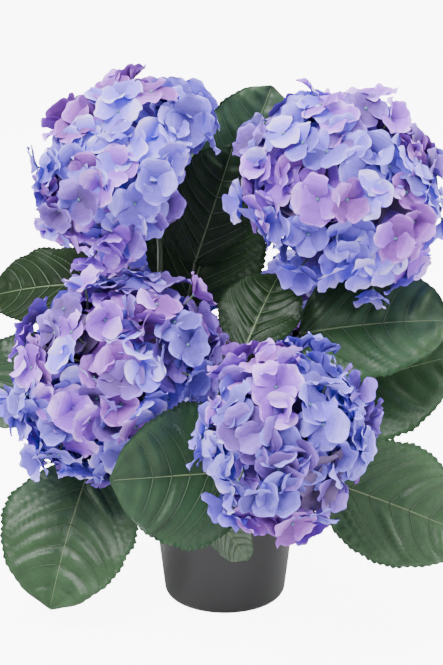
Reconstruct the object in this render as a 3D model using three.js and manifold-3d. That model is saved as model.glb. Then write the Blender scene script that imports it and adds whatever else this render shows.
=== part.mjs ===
// A potted artificial hydrangea: a plastic nursery pot with a weighted filler, a moulded main stem,
// six flower stems that each carry a ball of four-petalled florets, and twelve leafy shoots between them.
// Millimetres, +Z up. The origin is the centre of the pot's flat underside, and -Y is the front.

import * as THREE from "three";
import { mergeVertices } from "three/addons/utils/BufferGeometryUtils.js";
import Module from "manifold-3d";

const wasm = await Module();
wasm.setup();

// Driving dimensions of the pot and of what fills it
const POT = { height: 115, footRadius: 52, topRadius: 65, wall: 1.8, floor: 2.2, heel: 4 };
const LIP = { height: 11, out: 1.6 };
const FILLER = { rimDrop: 16, mound: 4, standRadius: 15 };
const ROUND_SIDES = 32;

// Clearance that separate solids keep where they meet
const SEAT = 0.3;

// Main stem, from the filler up to the hub that carries the flower stems
const TRUNK = { height: 47, lean: [1.5, 1], sides: 14 };
// Radius of the main stem at shares of its height: root flare, waist, and the hub at its top
const TRUNK_PROFILE = [[0, 11], [0.17, 7.6], [0.42, 6.8], [0.68, 7.1], [0.87, 10.3], [1, 12]];
// ring is how far the flower stems stand from the middle of the hub, rise and reach how far each runs
// straight up from the hub and straight along its ball's axis before the ball
const STEM = { ring: 8.2, foot: 3.2, tip: 2.3, rise: 12, reach: 22, sides: 6, steps: 8 };
const SHOOT = { foot: 2.4, tip: 1.9, outset: 26, sides: 5, steps: 6 };
const LEADER = { leaving: [0, 0, 50], arriving: [-8, 8, 40] };
const PETIOLE = { length: 20, lift: 25, steepest: 80, radius: 1.7, sunk: 9, sides: 4, steps: 2 };

// Flower balls. centre is the middle of the ball, side and along its radii across and along its axis,
// and azimuth and pitch turn the axis, in degrees. ring is the angle at which its stem stands on the hub,
// and bow how far the middle of that stem is drawn aside. bare is the azimuth, pitch and spread, in degrees,
// of a side with no florets. stretch is the azimuth and pitch of a direction in which the ball is longer,
// and by what share.
const BLOOMS = [
  { place: "upper_left", centre: [-81, 14, 374], azimuth: -124, pitch: 57, side: 75, along: 75, ring: 165,
    bow: [-20, 8, -20], bare: [-5, -16, 44], stretch: [15, 38, 0.27] },
  { place: "upper_right", centre: [95, 0, 359], azimuth: -56, pitch: 57, side: 91, along: 88, ring: 5,
    bow: [8, -16, 8], stretch: [162, 42, 0.09] },
  { place: "middle_left", centre: [-91, -46, 214], azimuth: -130, pitch: 31, side: 89, along: 88, ring: 222,
    bow: [-4, 2, 0], stretch: [15, 38, 0.2] },
  { place: "lower_front", centre: [47, -148, 199], azimuth: -77, pitch: 29, side: 74, along: 75, ring: 290,
    bow: [0, 0, 0], bare: [-15, -37, 36], stretch: [90, 72, 0.15] },
  { place: "back_left", centre: [-80, 130, 222], azimuth: 128, pitch: 35, side: 80, along: 76, ring: 112,
    bow: [0, 0, 0] },
  { place: "back_right", centre: [98, 114, 212], azimuth: 52, pitch: 35, side: 80, along: 76, ring: 58,
    bow: [0, 0, 0] },
];
// cover is the angle from a ball's axis to its lowest florets, inset and step set how deep the florets lie
// below its reach, and core, sunk and neck are shares of its radii
const BALL = { florets: 38, cover: 124, inset: 4, step: 7, core: 0.55, sunk: 0.02, neck: 0.78, stalk: 2.6 };
// shoulder and tilt are in degrees, and notch is a share of the floret's radius
const FLORET = { radius: 23, notch: 0.42, shoulder: 25, crown: 0.6, keel: 2.6, cup: 3, tilt: 6 };
const PEDICEL = { foot: 1.9, tip: 1.4, root: 0.8 };

// Leafy shoots. from is the angle and height where the shoot leaves the main stem (none on the leader,
// which stands on the hub), node is where its leaves part, and each leaf has its heading, pitch and
// roll in degrees and its length. droop is how far the blade turns down from its base to its tip, and
// breadth, a share of its length, and stalk stand for a leaf that is narrower or held further out than
// the rest.
const SHOOTS = [
  { place: "middle", node: [-36, 50, 226], leaves: [
    { azimuth: 34, pitch: 66, roll: -30, droop: 12, length: 120, breadth: 0.96 },
    { azimuth: 16, pitch: 70, roll: -80, droop: 14, length: 108, breadth: 0.86, stalk: 56 } ] },
  { place: "back_upper", from: [85, 30], node: [-3, 96, 302], leaves: [
    { azimuth: 11, pitch: 68, roll: -80, droop: 14, length: 112, breadth: 0.84 },
    { azimuth: 102, pitch: 30, roll: 0, droop: 34, length: 112 } ] },
  { place: "left_upper", from: [140, 28], node: [-91, 42, 257], leaves: [
    { azimuth: 175, pitch: 0, roll: 35, droop: 24, length: 98 } ] },
  { place: "left_middle", from: [193, 26], node: [-127, 65, 212], leaves: [
    { azimuth: -159, pitch: -38, roll: 40, droop: 30, length: 95 } ] },
  { place: "left_low", from: [205, 12], node: [-108, 4, 124], leaves: [
    { azimuth: -110, pitch: -35, roll: 10, droop: 38, length: 127, breadth: 0.93 },
    { azimuth: 105, pitch: -8, roll: 0, droop: 30, length: 105 } ] },
  { place: "front_upper", from: [255, 30], node: [13, -46, 217], leaves: [
    { azimuth: 60, pitch: 46, roll: -10, droop: 18, length: 82, breadth: 0.88 } ] },
  { place: "front_middle", from: [278, 21], node: [31, -85, 140], leaves: [
    { azimuth: -149, pitch: 8, roll: 75, droop: 6, length: 122, breadth: 0.97 } ] },
  { place: "front_low", from: [250, 12], node: [-28, -76, 121], leaves: [
    { azimuth: -8, pitch: -56, roll: -60, droop: 10, length: 56, breadth: 0.66 } ] },
  { place: "right_upper", from: [30, 30], node: [48, -4, 225], leaves: [
    { azimuth: -16, pitch: 16, roll: -42, droop: 20, length: 127, breadth: 0.92 } ] },
  { place: "right_middle", from: [-35, 26], node: [52, 2, 162], leaves: [
    { azimuth: -8, pitch: 22, roll: -55, droop: 14, length: 138 },
    { azimuth: 22, pitch: -32, roll: 0, droop: 24, length: 108 } ] },
  { place: "right_low", from: [-40, 12], node: [64, -54, 123], leaves: [
    { azimuth: -15, pitch: -13, roll: -50, droop: 26, length: 132, breadth: 0.81 },
    { azimuth: 34, pitch: -10, roll: 0, droop: 28, length: 100 } ] },
  { place: "back_low", from: [95, 12], node: [0, 76, 128], leaves: [
    { azimuth: 93, pitch: 38, roll: 0, droop: 36, length: 118, breadth: 0.58 },
    { azimuth: 152, pitch: -4, roll: 0, droop: 30, length: 112 },
    { azimuth: 28, pitch: -4, roll: 0, droop: 30, length: 112 } ] },
];
// tooth is how far a notch of the edge is cut in, fold and camber raise and round each half of the blade
const BLADE = {
  breadth: 0.86, heel: 0.85, round: 0.57, teeth: 8, tooth: 0.05, fold: 0.2, camber: 0.08, thick: 2.4,
};

const COLOURS = {
  pot: [0x4a494b, 0.5],
  filler: [0x3b2d22, 0.95],
  stem: [0x6c7d45, 0.65],
  leaf: [0x3f6340, 0.5],
  blue_petal: [0x8b8fdc, 0.75],
  lilac_petal: [0xa58fd6, 0.75],
};
const MATERIALS = Object.fromEntries(Object.entries(COLOURS).map(([slot, [color, roughness]]) =>
  [slot, new THREE.MeshStandardMaterial({ name: slot, color, roughness, metalness: 0 })]));

const GOLDEN_ANGLE = Math.PI * (3 - Math.sqrt(5));
const UP = new THREE.Vector3(0, 0, 1);
const radians = THREE.MathUtils.degToRad;
const vector = (place) => new THREE.Vector3(...place);
const along = (start, direction, distance) => start.clone().addScaledVector(direction, distance);

// Unit vector at an azimuth from +X towards +Y and a pitch above the horizon, in degrees.
function heading(azimuth, pitch) {
  const a = radians(azimuth), p = radians(pitch);
  return new THREE.Vector3(Math.cos(p) * Math.cos(a), Math.cos(p) * Math.sin(a), Math.sin(p));
}

// Repeatable random numbers from 0 to 1.
function seeded(seed) {
  let state = seed >>> 0;
  return () => {
    state = (Math.imul(state, 1664525) + 1013904223) >>> 0;
    return state / 4294967296;
  };
}

// Closed surface from points and triangles.
function geometryFrom(points, faces) {
  const geometry = new THREE.BufferGeometry().setFromPoints(points);
  geometry.setIndex(faces.flat());
  geometry.computeVertexNormals();
  return geometry;
}

function solidOf(geometry) {
  const bare = geometry.clone();
  for (const name of ["normal", "uv"]) bare.deleteAttribute(name);
  const merged = mergeVertices(bare, 1e-3);
  return new wasm.Manifold(new wasm.Mesh({
    numProp: 3,
    vertProperties: new Float32Array(merged.attributes.position.array),
    triVerts: new Uint32Array(merged.index.array),
  }));
}

function geometryOf(solid) {
  const mesh = solid.getMesh();
  const geometry = new THREE.BufferGeometry();
  geometry.setAttribute("position", new THREE.BufferAttribute(new Float32Array(mesh.vertProperties), 3));
  geometry.setIndex(new THREE.BufferAttribute(new Uint32Array(mesh.triVerts), 1));
  geometry.computeVertexNormals();
  return geometry;
}

// Tapering limb along a curve, with flat ends. radiusAt gives the radius at 0 to 1 along it.
function limb(curve, radiusAt, sides, steps) {
  const { normals, binormals } = curve.computeFrenetFrames(steps);
  const points = [], faces = [];
  for (let i = 0; i <= steps; i++) {
    const centre = curve.getPointAt(i / steps), radius = radiusAt(i / steps);
    for (let k = 0; k < sides; k++) {
      const angle = 2 * Math.PI * k / sides;
      points.push(centre.clone()
        .addScaledVector(normals[i], radius * Math.cos(angle))
        .addScaledVector(binormals[i], radius * Math.sin(angle)));
    }
  }
  for (let i = 0; i < steps; i++) {
    for (let k = 0; k < sides; k++) {
      const here = i * sides + k, next = i * sides + (k + 1) % sides;
      faces.push([here, next, next + sides], [here, next + sides, here + sides]);
    }
  }
  const last = steps * sides;
  for (let k = 1; k < sides - 1; k++) {
    faces.push([0, k + 1, k], [last, last + k, last + k + 1]);
  }
  return geometryFrom(points, faces);
}

const taper = (foot, tip) => (t) => foot + (tip - foot) * t;

// Smooth curve that leaves start along one direction and arrives at end along another.
function bend(start, leaving, end, arriving) {
  return new THREE.CubicBezierCurve3(start, start.clone().add(leaving), end.clone().sub(arriving), end);
}

// Pot and filler are turned about +Z, and a lathe turns about +Y, so each is stood up.
function turned(profile, sides = ROUND_SIDES) {
  const points = profile.map(([r, z]) => new THREE.Vector2(r, z));
  return new THREE.LatheGeometry(points, sides).rotateX(Math.PI / 2);
}

const outerRadius = (z) => POT.footRadius + (POT.topRadius - POT.footRadius) * z / POT.height;
const innerRadius = (z) => outerRadius(z) - POT.wall;
const fillerTop = POT.height - FILLER.rimDrop;
const standHeight = fillerTop + FILLER.mound;

function pot() {
  const lipFoot = POT.height - LIP.height;
  return turned([
    [0, 0],
    [POT.footRadius - POT.heel, 0],
    [POT.footRadius - POT.heel * 0.3, POT.heel * 0.3],
    [outerRadius(POT.heel), POT.heel],
    [outerRadius(lipFoot), lipFoot],
    [outerRadius(lipFoot) + LIP.out, lipFoot + 1],
    [outerRadius(POT.height) + LIP.out, POT.height - 1],
    [outerRadius(POT.height) + LIP.out - 1, POT.height],
    [innerRadius(POT.height), POT.height],
    [innerRadius(POT.floor), POT.floor],
    [0, POT.floor],
  ]);
}

function filler() {
  const foot = POT.floor + SEAT, slack = SEAT + 0.2;
  return turned([
    [0, foot],
    [innerRadius(foot) - slack, foot],
    [innerRadius(fillerTop) - slack, fillerTop],
    [innerRadius(fillerTop) * 0.62, fillerTop + FILLER.mound * 0.7],
    [FILLER.standRadius, standHeight],
    [0, standHeight],
  ]);
}

// The main stem flares at its foot, widens again into the hub, and leans while its ends stay level.
const trunkFoot = new THREE.Vector3(0, 0, standHeight + SEAT);
const hubTop = new THREE.Vector3(...TRUNK.lean, trunkFoot.z + TRUNK.height);

function trunk() {
  const { height, lean, sides } = TRUNK;
  const side = TRUNK_PROFILE.map(([share, radius]) => [radius, share * height]);
  const shear = new THREE.Matrix4().set(
    1, 0, lean[0] / height, 0,
    0, 1, lean[1] / height, 0,
    0, 0, 1, 0,
    0, 0, 0, 1);
  return turned([[0, 0], ...side, [0, height]], sides).applyMatrix4(shear).translate(...trunkFoot);
}

function trunkRadius(share) {
  const above = TRUNK_PROFILE.findIndex(([reached]) => reached > share);
  const [low, high] = TRUNK_PROFILE.slice(above - 1, above + 1);
  return THREE.MathUtils.mapLinear(share, low[0], high[0], low[1], high[1]);
}

// A flower ball's axis, and the point where its stem enters it.
const axisOf = (bloom) => heading(bloom.azimuth, bloom.pitch);
const neckOf = (bloom) => along(vector(bloom.centre), axisOf(bloom), -BALL.neck * bloom.along);

function flowerStem(bloom) {
  const foot = along(hubTop, heading(bloom.ring, 0), STEM.ring);
  foot.z += SEAT;
  const neck = neckOf(bloom);
  const rising = along(foot, UP, STEM.rise), arriving = along(neck, axisOf(bloom), -STEM.reach);
  const middle = rising.clone().lerp(arriving, 0.5).add(vector(bloom.bow));
  const curve = new THREE.CatmullRomCurve3([foot, rising, middle, arriving, neck]);
  return limb(curve, taper(STEM.foot, STEM.tip), STEM.sides, STEM.steps);
}

// Two directions square to a unit vector.
function across(direction) {
  const helper = Math.abs(direction.z) < 0.9 ? UP : new THREE.Vector3(1, 0, 0);
  const first = new THREE.Vector3().crossVectors(helper, direction).normalize();
  return [first, new THREE.Vector3().crossVectors(direction, first)];
}

// Places and turns of a ball's florets: a golden-angle spiral from the tip of the axis down past the
// widest part, at three depths in turn, and each tipped and spun a little.
function floretsOf(bloom, index) {
  const random = seeded(101 + 37 * index);
  const axis = axisOf(bloom), [right, front] = across(axis);
  const lowest = Math.cos(radians(BALL.cover));
  return Array.from({ length: BALL.florets }, (_, i) => {
    const cosine = 1 - (1 - lowest) * (i + 0.5) / BALL.florets;
    const sine = Math.sqrt(1 - cosine * cosine), turn = i * GOLDEN_ANGLE;
    const depth = BALL.inset + BALL.step * (i % 3);
    const side = bloom.side - depth, tall = bloom.along - depth;
    const out = new THREE.Vector3()
      .addScaledVector(right, Math.cos(turn))
      .addScaledVector(front, Math.sin(turn));
    const offset = out.clone().multiplyScalar(sine * side).addScaledVector(axis, cosine * tall);
    const normal = out.multiplyScalar(sine / side).addScaledVector(axis, cosine / tall);
    if (bloom.stretch) drawOut(bloom.stretch, offset, normal);
    const place = vector(bloom.centre).add(offset);
    normal.normalize();
    const [u, v] = across(normal), lean = Math.tan(radians(FLORET.tilt));
    normal.addScaledVector(u, lean * (2 * random() - 1)).addScaledVector(v, lean * (2 * random() - 1));
    return { place, normal: normal.normalize(), spin: random() * Math.PI / 2 };
  }).filter(({ place }) => !isBare(bloom, place));
}

// Draws a place on a ball out along the direction in which the ball is longer, and turns its normal with it.
function drawOut([azimuth, pitch, share], offset, normal) {
  const direction = heading(azimuth, pitch);
  offset.addScaledVector(direction, offset.dot(direction) * share);
  normal.addScaledVector(direction, -normal.dot(direction) * share / (1 + share));
}

// Whether a place is on the side of a ball that has no florets.
function isBare(bloom, place) {
  if (!bloom.bare) return false;
  const [azimuth, pitch, spread] = bloom.bare;
  return place.clone().sub(vector(bloom.centre)).angleTo(heading(azimuth, pitch)) < radians(spread);
}

// One floret on its own stalk: four blunt petals in one thin cupped shell, with two shoulders to each
// petal and a notch between petals, drawn down at its middle into a three-sided stalk that ends at root.
function floretSolid({ place, normal, spin }, root) {
  const [u, v] = across(normal);
  const around = (centre, angle, radius, height) => centre.clone()
    .addScaledVector(u, radius * Math.cos(angle))
    .addScaledVector(v, radius * Math.sin(angle))
    .addScaledVector(normal, height);
  const half = radians(FLORET.shoulder);
  const rim = [0, 1, 2, 3].flatMap((petal) => {
    const middle = spin + petal * Math.PI / 2, lift = petal % 2 ? FLORET.cup : FLORET.cup / 4;
    return [
      [middle - Math.PI / 4, FLORET.radius * FLORET.notch, 0],
      [middle - half, FLORET.radius, lift],
      [middle + half, FLORET.radius, lift],
    ];
  });
  const corners = [2, 6, 10].map((k) => rim[k][0]);
  const points = rim.map((at) => around(place, ...at)).concat(
    corners.map((angle) => around(place, angle, PEDICEL.tip, -FLORET.keel)),
    corners.map((angle) => around(root, angle, PEDICEL.foot, 0)),
    [along(place, normal, FLORET.crown)]);
  const faces = [[15, 17, 16]];
  rim.forEach((_, k) => faces.push([18, k, (k + 1) % 12], [12 + Math.floor(k / 4), (k + 1) % 12, k]));
  for (let a = 0; a < 3; a++) {
    const b = (a + 1) % 3;
    faces.push([12 + a, 12 + b, (4 * a + 4) % 12], [12 + a, 15 + a, 15 + b], [12 + a, 15 + b, 12 + b]);
  }
  return solidOf(geometryFrom(points, faces));
}

// A flower ball: a stalk, a core where the florets' stalks part, and the florets that hide it.
function flowerBall(bloom, index) {
  const axis = axisOf(bloom), neck = neckOf(bloom), radius = BALL.core * bloom.side;
  const core = along(vector(bloom.centre), axis, -BALL.sunk * bloom.along);
  const knob = new THREE.IcosahedronGeometry(radius, 1).translate(...core);
  const stalk = limb(new THREE.LineCurve3(along(neck, axis, SEAT), core), taper(STEM.tip, BALL.stalk), 6, 1);
  const pieces = [solidOf(knob), solidOf(stalk)];
  for (const floret of floretsOf(bloom, index)) {
    const outward = floret.place.clone().sub(core).normalize();
    pieces.push(floretSolid(floret, along(core, outward, PEDICEL.root * radius)));
  }
  return geometryOf(wasm.Manifold.union(pieces));
}

// Half the blade's width at 0 to 1 along it, as a share of its greatest: rounded below, drawn out above.
const outline = (t) => Math.sin(Math.PI * t ** BLADE.heel) ** BLADE.round;

// One leaf blade: folded up along its midrib, drooping towards its tip, with a toothed edge.
function leafBlade(leaf, base) {
  const length = leaf.length, width = length * (leaf.breadth ?? BLADE.breadth) / 2;
  const level = heading(leaf.azimuth, 0), pitch = radians(leaf.pitch), droop = radians(leaf.droop);
  const tangent = heading(leaf.azimuth, leaf.pitch);
  const turn = new THREE.Quaternion().setFromAxisAngle(tangent, -radians(leaf.roll));
  const side = new THREE.Vector3().crossVectors(UP, level);
  const at = (t, share, lift) => {
    const run = length / droop * (Math.sin(pitch) - Math.sin(pitch - droop * t));
    const rise = length / droop * (Math.cos(pitch - droop * t) - Math.cos(pitch));
    const normal = heading(leaf.azimuth, leaf.pitch - leaf.droop * t + 90);
    const half = width * outline(t) * share;
    return new THREE.Vector3()
      .addScaledVector(level, run).addScaledVector(UP, rise)
      .addScaledVector(side, half)
      .addScaledVector(normal, lift + Math.abs(half) * BLADE.fold - half * half / width * BLADE.camber)
      .applyQuaternion(turn).add(base);
  };
  const points = [], faces = [], steps = BLADE.teeth, rimSteps = 2 * steps;
  const ribs = Array.from({ length: steps + 1 }, (_, j) => j / steps);
  const thick = (t) => BLADE.thick * (0.25 + 0.75 * Math.sin(Math.PI * Math.min(1, 0.2 + 0.75 * t)));
  const pointed = (t) => t > 0 && t < 1;
  const add = (point) => points.push(point) - 1;
  const base0 = add(at(0, 0, 0)), tip = add(at(1, 0, 0));
  const rib = (lift) => ribs.map((t) => pointed(t) ? add(at(t, 0, lift * thick(t) / 2)) : t ? tip : base0);
  const top = rib(1), under = rib(-1);
  const edge = (share) => Array.from({ length: rimSteps + 1 }, (_, i) => {
    const t = i / rimSteps;
    return pointed(t) ? add(at(t, share * (i % 2 ? 1 : 1 - BLADE.tooth), 0)) : t ? tip : base0;
  });
  const flat = (face) => new Set(face).size === 3;
  for (const share of [1, -1]) {
    const rim = edge(share);
    for (let j = 0; j < steps; j++) {
      for (const [row, facing] of [[top, share], [under, -share]]) {
        const strip = [
          [row[j], rim[2 * j + 1], rim[2 * j]],
          [row[j], row[j + 1], rim[2 * j + 1]],
          [row[j + 1], rim[2 * j + 2], rim[2 * j + 1]],
        ].filter(flat);
        faces.push(...strip.map((face) => facing > 0 ? face : face.toReversed()));
      }
    }
  }
  return { solid: solidOf(geometryFrom(points, faces)), inside: at(PETIOLE.sunk / length, 0, 0) };
}

// A leafy shoot: one stem from the main stem to its node, then a petiole and a blade for each leaf.
function leafyShoot(shoot) {
  const node = vector(shoot.node);
  const stem = shoot.from ? sideShoot(shoot.from, node) : leader(node);
  const pieces = [solidOf(limb(stem, taper(SHOOT.foot, SHOOT.tip), SHOOT.sides, SHOOT.steps))];
  for (const leaf of shoot.leaves) {
    const lift = Math.min(leaf.pitch + PETIOLE.lift, PETIOLE.steepest);
    const base = along(node, heading(leaf.azimuth, lift), leaf.stalk ?? PETIOLE.length);
    const { solid, inside } = leafBlade(leaf, base);
    const curve = new THREE.QuadraticBezierCurve3(along(node, stem.getTangentAt(1), -1), base, inside);
    pieces.push(solid, solidOf(limb(curve, taper(PETIOLE.radius, 0.7 * PETIOLE.radius), PETIOLE.sides,
      PETIOLE.steps)));
  }
  return geometryOf(wasm.Manifold.union(pieces));
}

// The leader stands on the middle of the hub, and rises straight before it bends to its node.
function leader(node) {
  const foot = along(hubTop, UP, SEAT);
  return bend(foot, vector(LEADER.leaving), node, vector(LEADER.arriving));
}

// A side shoot leaves the main stem's side level, then climbs or reaches out to its node.
function sideShoot([angle, height], node) {
  const out = heading(angle, 0);
  const share = height / TRUNK.height;
  const foot = along(trunkFoot.clone().lerp(hubTop, share), out, trunkRadius(share) + SEAT);
  const way = node.clone().sub(foot);
  const flat = new THREE.Vector3(way.x, way.y, 0).normalize();
  const arriving = flat.multiplyScalar(0.5).addScaledVector(UP, way.z > 60 ? 1 : 0.1).normalize();
  return bend(foot, out.multiplyScalar(SHOOT.outset), node, arriving.multiplyScalar(way.length() * 0.35));
}

const plant = new THREE.Group();
function add(name, geometry, slot) {
  const mesh = new THREE.Mesh(geometry, MATERIALS[slot]);
  mesh.name = name;
  plant.add(mesh);
}

add("pot", pot(), "pot");
add("filler", filler(), "filler");
add("main_stem", trunk(), "stem");
BLOOMS.forEach((bloom, index) => {
  add("flower_stem_" + bloom.place, flowerStem(bloom), "stem");
  add("flower_ball_" + bloom.place, flowerBall(bloom, index), index % 2 ? "lilac_petal" : "blue_petal");
});
for (const shoot of SHOOTS) {
  add("leaves_" + shoot.place, leafyShoot(shoot), "leaf");
}

export default plant;
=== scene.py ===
# Looks of the artificial potted hydrangea: cloth florets, leaves with moulded veins, stems and the pot.
# Sizes are in millimetres, with +Z up and the front towards -Y. Floor, lights and camera are in metres.

import math
from collections import namedtuple
from types import SimpleNamespace as Sizes

import bpy
import numpy as np
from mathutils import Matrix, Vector
from mathutils.bvhtree import BVHTree


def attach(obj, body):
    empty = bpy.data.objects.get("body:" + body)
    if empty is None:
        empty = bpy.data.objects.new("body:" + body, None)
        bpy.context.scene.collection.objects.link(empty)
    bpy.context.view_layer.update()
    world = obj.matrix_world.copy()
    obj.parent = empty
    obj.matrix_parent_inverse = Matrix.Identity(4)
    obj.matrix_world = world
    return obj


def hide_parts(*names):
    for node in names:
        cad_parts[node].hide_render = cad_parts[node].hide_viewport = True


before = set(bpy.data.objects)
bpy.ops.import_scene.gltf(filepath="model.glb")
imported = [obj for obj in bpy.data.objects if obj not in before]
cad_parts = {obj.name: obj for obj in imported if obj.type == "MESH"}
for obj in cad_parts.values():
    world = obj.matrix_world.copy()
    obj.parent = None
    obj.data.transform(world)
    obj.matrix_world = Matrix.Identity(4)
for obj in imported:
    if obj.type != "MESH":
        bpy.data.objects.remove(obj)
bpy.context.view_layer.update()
MM = 0.001

# Driving dimensions, mostly those of the solids
POT = Sizes(height=115, foot=52, top=65, wall=1.8, floor=2.2, heel=4, cut=0.3)
LIP = Sizes(height=11, out=1.6, edge=1)
FILLER = Sizes(drop=16, mound=4, stand=15)
SEAT = 0.3
TRUNK = Sizes(height=47, lean=(1.5, 1.0))
TRUNK_PROFILE = [(0, 11), (0.17, 7.6), (0.42, 6.8), (0.68, 7.1), (0.87, 10.3), (1, 12)]
STEM = Sizes(ring=8.2, foot=3.2, tip=2.3, rise=12, reach=22)
SHOOT = Sizes(foot=2.4, tip=1.9, outset=26, high=60, steep=2, shallow=0.2, pull=0.35)
LEADER = Sizes(leaving=(0, 0, 50), arriving=(-8, 8, 40))
PETIOLE = Sizes(length=20, lift=25, steepest=80, sunk=9)
BALL = Sizes(florets=38, cover=124, step=7, sunk=0.02, neck=0.78, lean=6)
BLADE = Sizes(breadth=0.86, heel=0.85, round=0.57, fold=0.2, camber=0.08)

# Flower balls: centre, azimuth and pitch of the axis, radii across and along it, place of the stem on the
# hub, how far its middle is drawn aside, a side without florets as azimuth, pitch and half angle, and a
# direction in which the ball is longer, with the share
Bloom = namedtuple("Bloom", "centre aim radii ring bow bare stretch", defaults=[(0, 0, 0), None, None])
BLOOMS = {
    "upper_left": Bloom(
        (-81, 14, 374), (-124, 57), (75, 75), 165, (-20, 8, -20), (-5, -16, 44), (15, 38, 0.27)),
    "upper_right": Bloom((95, 0, 359), (-56, 57), (91, 88), 5, (8, -16, 8), None, (162, 42, 0.09)),
    "middle_left": Bloom((-91, -46, 214), (-130, 31), (89, 88), 222, (-4, 2, 0), None, (15, 38, 0.2)),
    "lower_front": Bloom(
        (47, -148, 199), (-77, 29), (74, 75), 290, (0, 0, 0), (-15, -37, 36), (90, 72, 0.15)),
    "back_left": Bloom((-80, 130, 222), (128, 35), (80, 76), 112),
    "back_right": Bloom((98, 114, 212), (52, 35), (80, 76), 58),
}

# Tones of the florets by the sides of the ball that they face, as azimuth and pitch
PATCHES = {
    "upper_left": {
        "light": [(-115, 60), (-120, 35), (-95, 30), (-70, 30), (-55, 15)],
        "blue": [(0, 45), (-35, 50), (-155, 15), (-80, 0), (-85, -25)],
        "violet": [(-85, 50), (-125, -15), (-65, -40)],
        "lilac": [(-105, 5), (-110, -30)],
        "mauve": [(-165, 45), (20, 80), (-145, -10)],
    },
    "upper_right": {
        "light": [(-155, 60), (-80, 20), (-80, -40)],
        "blue": [(-95, 35), (-30, -5), (-120, -15), (-85, -10), (-45, 35)],
        "violet": [(-175, 40), (-75, 65)],
        "lilac": [(-125, 75), (-45, 55), (-140, 20), (-115, 10), (-55, 15)],
        "mauve": [(-15, 40), (-100, 0), (-55, -10)],
    },
    "middle_left": {
        "light": [(-120, 20), (-65, 35), (-70, 15)],
        "blue": [(-135, -15), (-100, -40)],
        "dusk": [(-35, 35)],
        "violet": [(-155, 45), (5, 60), (-90, 0)],
        "lilac": [(-155, 25), (-140, 65), (-105, 50), (-120, 0), (-105, -10), (-80, 5)],
        "mauve": [(-55, 60), (-95, 35), (-85, 20), (-5, 40)],
    },
    # The lower front ball's many dusk patches are painted shade, where it lies under the upper right ball
    "lower_front": {
        "light": [(-135, 10)],
        "blue": [(-75, 30), (-25, 20)],
        "dusk": [(10, 70), (-25, 55), (-120, 45), (-100, 10), (-80, 10), (-50, 10),
                 (-105, -15), (-80, -20)],
        "violet": [(-50, 35), (-120, 25), (-60, -10)],
        "lilac": [(-90, 55)],
        "mauve": [(-165, 70), (-95, 30), (-95, -35)],
    },
}
# Reach of a patch in degrees, and the shares of the tones dealt out beyond all patches
PATCH_REACH = 32
DEALT = {"light": 0.3, "blue": 0.3, "lilac": 0.18, "violet": 0.12, "mauve": 0.1}
# Tones of the patches of a ball that has none of its own
BACK_TONES = ["lilac", "light", "blue", "mauve", "light", "blue", "lilac", "violet", "light", "blue"]

# Leafy shoots: azimuth and height at which each leaves the main stem (none for the leader, on the hub),
# its node, and its leaves, with angles in degrees and breadth as a share of the length
Leaf = namedtuple("Leaf", "azimuth pitch roll droop length tone breadth stalk",
                  defaults=[BLADE.breadth, PETIOLE.length])
SHOOTS = {
    "middle": (None, (-36, 50, 226), [
        Leaf(34, 66, -30, 12, 120, "dark", 0.96),
        Leaf(16, 70, -80, 14, 108, "dark", 0.86, 56)]),
    "back_upper": ((85, 30), (-3, 96, 302), [
        Leaf(11, 68, -80, 14, 112, "mid", 0.84),
        Leaf(102, 30, 0, 34, 112, "mid")]),
    "left_upper": ((140, 28), (-91, 42, 257), [Leaf(175, 0, 35, 24, 98, "shade")]),
    "left_middle": ((193, 26), (-127, 65, 212), [Leaf(-159, -38, 40, 30, 95, "mid")]),
    "left_low": ((205, 12), (-108, 4, 124), [
        Leaf(-110, -35, 10, 38, 127, "light", 0.93),
        Leaf(105, -8, 0, 30, 105, "mid")]),
    "front_upper": ((255, 30), (13, -46, 217), [Leaf(60, 46, -10, 18, 82, "dark", 0.88)]),
    "front_middle": ((278, 21), (31, -85, 140), [Leaf(-149, 8, 75, 6, 122, "mid", 0.97)]),
    "front_low": ((250, 12), (-28, -76, 121), [Leaf(-8, -56, -60, 10, 56, "pale", 0.66)]),
    "right_upper": ((30, 30), (48, -4, 225), [Leaf(-16, 16, -42, 20, 127, "light", 0.92)]),
    "right_middle": ((-35, 26), (52, 2, 162), [
        Leaf(-8, 22, -55, 14, 138, "bright"),
        Leaf(22, -32, 0, 24, 108, "mid")]),
    "right_low": ((-40, 12), (64, -54, 123), [
        Leaf(-15, -13, -50, 26, 132, "light", 0.81),
        Leaf(34, -10, 0, 28, 100, "mid")]),
    "back_low": ((95, 12), (0, 76, 128), [
        Leaf(93, 38, 0, 36, 118, "dark", 0.58),
        Leaf(152, -4, 0, 30, 112, "mid"),
        Leaf(28, -4, 0, 30, 112, "light")]),
}

UP = np.array([0.0, 0.0, 1.0])
GOLDEN = math.pi * (3 - math.sqrt(5))


# Directions and curves

def heading(azimuth, pitch):
    a, p = math.radians(azimuth), math.radians(pitch)
    return np.array([math.cos(p) * math.cos(a), math.cos(p) * math.sin(a), math.sin(p)])


def unit(v):
    return v / np.linalg.norm(v)


def across(direction):
    """Two directions at right angles to one, and to each other."""
    helper = UP if abs(direction[2]) < 0.9 else np.array([1.0, 0.0, 0.0])
    first = unit(np.cross(helper, direction))
    return first, np.cross(direction, first)


def turn_about(axis, degrees):
    """Matrix that turns row vectors about an axis."""
    a = math.radians(degrees)
    x, y, z = axis
    skew = np.array([[0, -z, y], [z, 0, -x], [-y, x, 0]])
    return (np.eye(3) + math.sin(a) * skew + (1 - math.cos(a)) * skew @ skew).T


def seeded(seed):
    """Repeatable numbers from 0 to 1, those by which the solids are spread."""
    multiplier, increment, modulus = 1664525, 1013904223, 2**32
    state = seed
    while True:
        state = (state * multiplier + increment) % modulus
        yield state / modulus


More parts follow.
